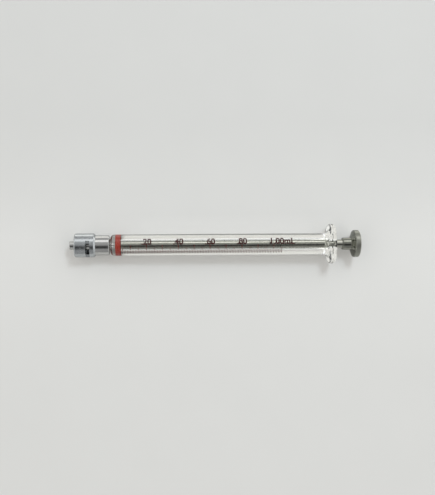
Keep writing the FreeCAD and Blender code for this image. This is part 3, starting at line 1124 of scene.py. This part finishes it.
def light_room(stage):
    """World whose light changes round the syringe's length, and shows the camera a plain backdrop."""
    world = bpy.data.worlds.new("room")
    bpy.context.scene.world = world
    tree = empty_tree(world)
    ray = add_node(tree, "ShaderNodeTexCoord").outputs["Generated"]
    apart = add_node(tree, "ShaderNodeSeparateXYZ", {"Vector": ray}).outputs
    lean = add_node(tree, "ShaderNodeMath", {0: apart["Y"], 1: apart["Z"]}, operation="ARCTAN2")
    overhead = profile(tree, lean, ROOM_LIGHT, math.radians(1.0))
    most = add_node(tree, "ShaderNodeMapRange", {
        "Value": apart["X"], "From Min": FROM_TIP_SIDE, "From Max": TO_KNOB_SIDE,
        "To Min": stage.tip_side, "To Max": stage.knob_side,
    })
    faded = add_node(tree, "ShaderNodeMath", {0: overhead, 1: most}, operation="MINIMUM")
    endways = add_node(tree, "ShaderNodeMath", {0: apart["X"]}, operation="ABSOLUTE")
    brightness = add_node(tree, "ShaderNodeMapRange", {
        "Value": endways, "From Min": FROM_OVERHEAD, "From Max": TO_ENDS,
        "To Min": faded, "To Max": stage.end_light,
    }, interpolation_type="SMOOTHSTEP")
    room = add_node(tree, "ShaderNodeBackground", {"Color": (1.0, 1.0, 1.0, 1.0), "Strength": brightness})
    backdrop = add_node(tree, "ShaderNodeBackground", {"Color": stage.backdrop})
    seen = add_node(tree, "ShaderNodeLightPath").outputs["Is Camera Ray"]
    mixed = add_node(tree, "ShaderNodeMixShader", {0: seen, 1: room, 2: backdrop})
    add_node(tree, "ShaderNodeOutputWorld", {"Surface": mixed})


def lay_floor(stage):
    """Plain floor that touches the knob and the lock collar, the two widest round parts."""
    knob_low, knob_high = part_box("thumb_knob")
    collar_low, collar_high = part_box("lock_collar")
    run = (collar_low.x + collar_high.x) / 2 - (knob_low.x + knob_high.x) / 2
    fall = (collar_low.z - knob_low.z) / run
    half = stage.floor_size / 2
    corners = ((-half, -half), (half, -half), (half, half), (-half, half))
    mesh = bpy.data.meshes.new("floor")
    mesh.from_pydata([(x, y, fall * (x - knob_high.x)) for x, y in corners], [], [(0, 1, 2, 3)])
    mesh.materials.append(board_with_painted_glow(stage))
    floor = placed("floor", mesh)


def hang_lamp(stage):
    """Soft square lamp above the far side of the syringe, a little towards its knob."""
    toward_knob = 0.3
    toward_far_side = 0.62
    toward = Vector((toward_knob, toward_far_side, 1.0)).normalized()
    data = bpy.data.lights.new("soft_lamp", "AREA")
    data.shape = "SQUARE"
    data.size = stage.lamp_size
    data.energy = stage.lamp_power
    data.color = stage.lamp_colour[:3]
    lamp = placed("soft_lamp", data)
    lamp.visible_glossy = False
    lamp.visible_transmission = False
    lamp.location = toward * stage.lamp_distance
    lamp.rotation_mode = "QUATERNION"
    lamp.rotation_quaternion = toward.to_track_quat("Z", "Y")


def set_camera(stage):
    """Camera straight overhead, rolled very slightly."""
    nearest = 1 * MM
    farthest = 20.0
    data = bpy.data.cameras.new("camera")
    data.lens = stage.lens / MM
    data.shift_x = stage.camera_shift
    data.clip_start = nearest
    data.clip_end = farthest
    camera = placed("camera", data)
    camera.location = (stage.camera_x, stage.camera_y, stage.camera_height)
    camera.rotation_euler = (0.0, 0.0, stage.camera_roll)
    bpy.context.scene.camera = camera


class SYRINGE_OT_stage(bpy.types.Operator):
    """Pale floor, soft light and overhead camera."""

    bl_idname = "syringe.stage"
    bl_label = "Stage"

    def execute(self, context):
        stage = context.scene.syringe_stage
        light_room(stage)
        lay_floor(stage)
        hang_lamp(stage)
        set_camera(stage)
        context.scene.view_settings.view_transform = "Standard"
        return {"FINISHED"}


BUILD_ORDER = (
    SYRINGE_OT_stage,
    SYRINGE_OT_tip_hub,
    SYRINGE_OT_lock_collar,
    SYRINGE_OT_socket_cement,
    SYRINGE_OT_glass_barrel,
    SYRINGE_OT_piston_rod,
    SYRINGE_OT_thumb_knob,
    SYRINGE_OT_zero_band,
    SYRINGE_OT_scale_lines,
    SYRINGE_OT_scale_numbers,
)

GROUPS = {
    "syringe_barrel": SyringeBarrelSizes,
    "syringe_hub": SyringeHubSizes,
    "syringe_collar": SyringeCollarSizes,
    "syringe_piston": SyringePistonSizes,
    "syringe_scale": SyringeScaleSizes,
    "syringe_finishes": SyringeFinishes,
    "syringe_stage": SyringeStageSettings,
}


class SYRINGE_PT_panel(bpy.types.Panel):
    """Builds the syringe's pieces one by one and holds their sizes."""

    bl_idname = "SYRINGE_PT_panel"
    bl_label = "Metal piston syringe"
    bl_space_type = "VIEW_3D"
    bl_region_type = "UI"
    bl_category = "Syringe"

    def draw(self, context):
        for operator in BUILD_ORDER:
            self.layout.operator(operator.bl_idname)
        for name, group in GROUPS.items():
            box = self.layout.box()
            for setting in group.__annotations__:
                box.prop(getattr(context.scene, name), setting)


def register():
    for name, group in GROUPS.items():
        bpy.utils.register_class(group)
        setattr(bpy.types.Scene, name, bpy.props.PointerProperty(type=group))
    for operator in BUILD_ORDER:
        bpy.utils.register_class(operator)
    bpy.utils.register_class(SYRINGE_PT_panel)


def unregister():
    bpy.utils.unregister_class(SYRINGE_PT_panel)
    for operator in reversed(BUILD_ORDER):
        bpy.utils.unregister_class(operator)
    for name, group in reversed(GROUPS.items()):
        delattr(bpy.types.Scene, name)
        bpy.utils.unregister_class(group)


def main():
    """Build every piece and the stage."""
    register()
    for operator in BUILD_ORDER:
        group, name = operator.bl_idname.split(".")
        getattr(getattr(bpy.ops, group), name)()


if __name__ == "__main__":
    main()
